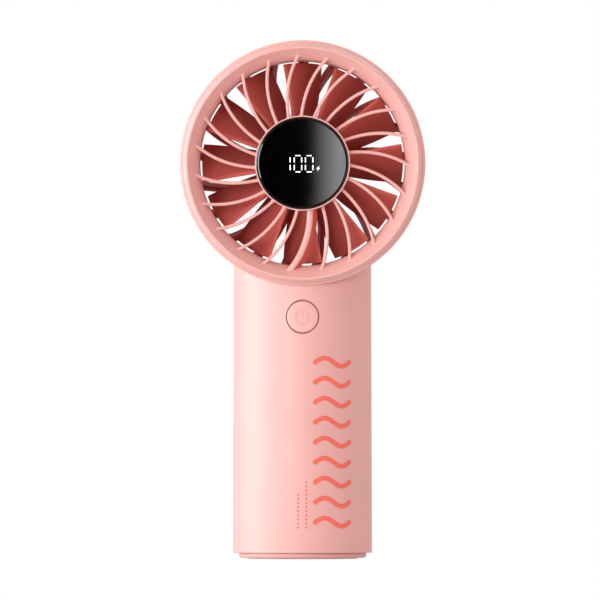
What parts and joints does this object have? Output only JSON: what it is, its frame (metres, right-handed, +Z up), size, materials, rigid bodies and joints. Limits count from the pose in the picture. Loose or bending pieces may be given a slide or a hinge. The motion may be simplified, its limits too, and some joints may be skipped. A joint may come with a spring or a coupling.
{
  "type": "handheld fan",
  "caption": "Rechargeable handheld fan: a ducted impeller between swept-rib grilles in a round head with a charge display, on a round battery grip with a push button.",
  "frame": {"origin": "centre of the base, on the grip's axis, on the surface the fan stands on", "axes": "+Z up along the grip, -Y the side the air leaves from, which carries the display and the button, +X to the right as seen from that side"},
  "size_m": [0.0774, 0.05, 0.1635],
  "materials": {
    "shell": "fine satin moulded ABS, pale coral pink",
    "duct": "satin moulded ABS, dark red",
    "lens": "polished smoked acrylic",
    "white_plastic": "natural moulded nylon",
    "black_plastic": "moulded",
    "circuit_board": "green solder mask on glass-fibre laminate",
    "steel": "nickel-plated",
    "aluminium": "drawn",
    "copper": "enamelled copper winding",
    "brass": "turned",
    "magnet": "sintered ferrite",
    "cell": "steel can in a blue shrink sleeve",
    "pad": "silicone sheet",
    "red_wire": "silicone insulation",
    "black_wire": "silicone insulation"
  },
  "bodies": {
    "housing": {"main_shell": "shell", "front_grille": "shell", "rear_grille": "shell", "base_cap": "shell", "duct_liner": "shell", "guide_vanes": "duct", "display_lens": "lens", "display_led_module": "white_plastic", "display_board": "circuit_board", "stator_core": "steel", "coil_1": "copper", "coil_2": "copper", "coil_3": "copper", "coil_4": "copper", "coil_5": "copper", "coil_6": "copper", "motor_flange": "brass", "motor_board": "circuit_board", "bearing_front": "steel", "bearing_rear": "steel", "motor_screw_1": "steel", "motor_screw_2": "steel", "display_lead": "black_wire", "motor_lead": "black_wire", "switch_body": "steel", "main_board": "circuit_board", "board_screw_1": "steel", "board_screw_2": "steel", "board_screw_3": "steel", "board_screw_4": "steel", "controller_chip": "black_plastic", "power_inductor": "magnet", "display_connector": "white_plastic", "motor_connector": "white_plastic", "battery_connector": "white_plastic", "charge_connector": "white_plastic", "bulk_capacitor": "aluminium", "port_board": "circuit_board", "port_screw": "steel", "port_receptacle": "steel", "port_tongue": "black_plastic", "cell_left": "cell", "cell_right": "cell", "cell_strip_top": "steel", "cell_strip_bottom": "steel", "insulating_sheet": "white_plastic", "battery_carrier": "white_plastic", "base_pad": "pad", "base_screw_1": "steel", "base_screw_2": "steel", "battery_lead_positive": "red_wire", "battery_lead_negative": "black_wire", "charge_lead": "black_wire"},
    "rotor": {"impeller": "duct", "rotor_can": "steel", "rotor_magnet": "magnet", "rotor_shaft": "steel", "shaft_clip": "steel"},
    "button": {"power_button": "shell"},
    "plunger": {"switch_plunger": "black_plastic"}
  },
  "joints": [
    {"name": "impeller_spin", "type": "hinge", "parent": "housing", "child": "rotor", "pos_m": [0, 0, 0.1248], "axis": [0, 1, 0], "continuous": true},
    {"name": "power_button_press", "type": "slide", "parent": "housing", "child": "button", "axis": [0, 1, 0], "range_m": [0, 0.0004], "stiffness_N_per_m": 1500},
    {"name": "switch_plunger_travel", "type": "slide", "parent": "housing", "child": "plunger", "axis": [0, 1, 0], "range_m": [0, 0.0004]}
  ],
  "couplings": [
    {"joint": "switch_plunger_travel", "follows": "power_button_press", "ratio": 1}
  ]
}
